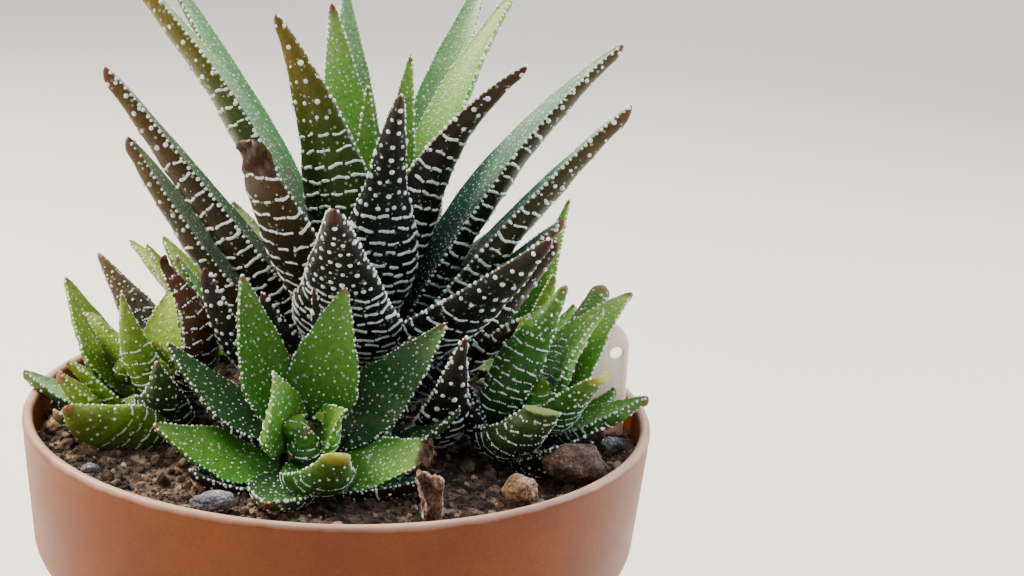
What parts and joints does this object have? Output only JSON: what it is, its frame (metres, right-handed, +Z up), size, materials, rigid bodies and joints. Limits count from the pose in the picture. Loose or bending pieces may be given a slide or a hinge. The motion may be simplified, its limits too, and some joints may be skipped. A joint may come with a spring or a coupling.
{
  "type": "potted haworthia succulent",
  "caption": "Clustered zebra haworthia with banded pointed leaves and offset rosettes, growing in a round moulded plastic flower pot with soil, stones and a blank label",
  "frame": {"origin": "centre of the flat underside of the pot", "axes": "+Z up out of the pot; the front pup and the tallest outward leaf of the main rosette face -Y, and +X is to the right when seen from the front"},
  "size_m": [0.091, 0.095, 0.14],
  "materials": {
    "pot_plastic": "moulded terracotta-coloured plastic, softly glossy",
    "potting_soil": "dark brown granular soil with pale grit",
    "dark_leaf": "waxy dark green skin with raised white bands and beads",
    "green_leaf": "waxy bright green skin with small white dots",
    "yellow_leaf": "waxy yellow-green skin with small white dots",
    "stem_green": "dull pale green stem",
    "brown_stone": "rough matt stone",
    "tan_stone": "rough matt stone",
    "grey_stone": "smooth matt stone",
    "dry_bark": "dry fibrous bark",
    "label_plastic": "smooth white plastic"
  },
  "bodies": {
    "root": {"back_pup_leaf_01": "yellow_leaf", "bark_chip": "dry_bark", "far_pup_leaf_01": "green_leaf", "front_pup_leaf_01": "green_leaf", "front_pup_leaf_02": "green_leaf", "front_pup_leaf_03": "green_leaf", "front_pup_leaf_04": "green_leaf", "front_pup_leaf_05": "green_leaf", "front_pup_leaf_06": "green_leaf", "front_pup_leaf_07": "green_leaf", "front_pup_leaf_08": "green_leaf", "front_pup_leaf_09": "green_leaf", "front_pup_leaf_10": "green_leaf", "front_pup_stem": "stem_green", "left_pup_leaf_01": "yellow_leaf", "left_pup_leaf_02": "yellow_leaf", "left_pup_leaf_03": "yellow_leaf", "left_pup_leaf_04": "yellow_leaf", "left_pup_leaf_05": "yellow_leaf", "left_pup_leaf_06": "yellow_leaf", "left_pup_leaf_07": "yellow_leaf", "left_pup_leaf_08": "yellow_leaf", "left_pup_leaf_09": "yellow_leaf", "left_pup_leaf_10": "yellow_leaf", "left_pup_stem": "stem_green", "main_leaf_01": "dark_leaf", "main_leaf_02": "dark_leaf", "main_leaf_03": "dark_leaf", "main_leaf_04": "dark_leaf", "main_leaf_05": "dark_leaf", "main_leaf_06": "dark_leaf", "main_leaf_07": "dark_leaf", "main_leaf_08": "dark_leaf", "main_leaf_09": "dark_leaf", "main_leaf_10": "dark_leaf", "main_leaf_11": "dark_leaf", "main_leaf_12": "dark_leaf", "main_leaf_13": "dark_leaf", "main_leaf_14": "dark_leaf", "main_leaf_15": "dark_leaf", "main_leaf_16": "dark_leaf", "main_leaf_17": "dark_leaf", "main_leaf_18": "dark_leaf", "main_leaf_19": "dark_leaf", "main_leaf_20": "dark_leaf", "main_stem": "stem_green", "plant_label": "label_plastic", "pot": "pot_plastic", "right_pup_leaf_01": "green_leaf", "right_pup_leaf_02": "green_leaf", "right_pup_leaf_03": "green_leaf", "right_pup_leaf_04": "green_leaf", "right_pup_leaf_05": "green_leaf", "right_pup_leaf_06": "green_leaf", "right_pup_leaf_07": "green_leaf", "right_pup_stem": "stem_green", "rock_right": "brown_stone", "soil": "potting_soil", "stone_front_left": "grey_stone", "stone_front_right": "tan_stone"}
  },
  "joints": []
}
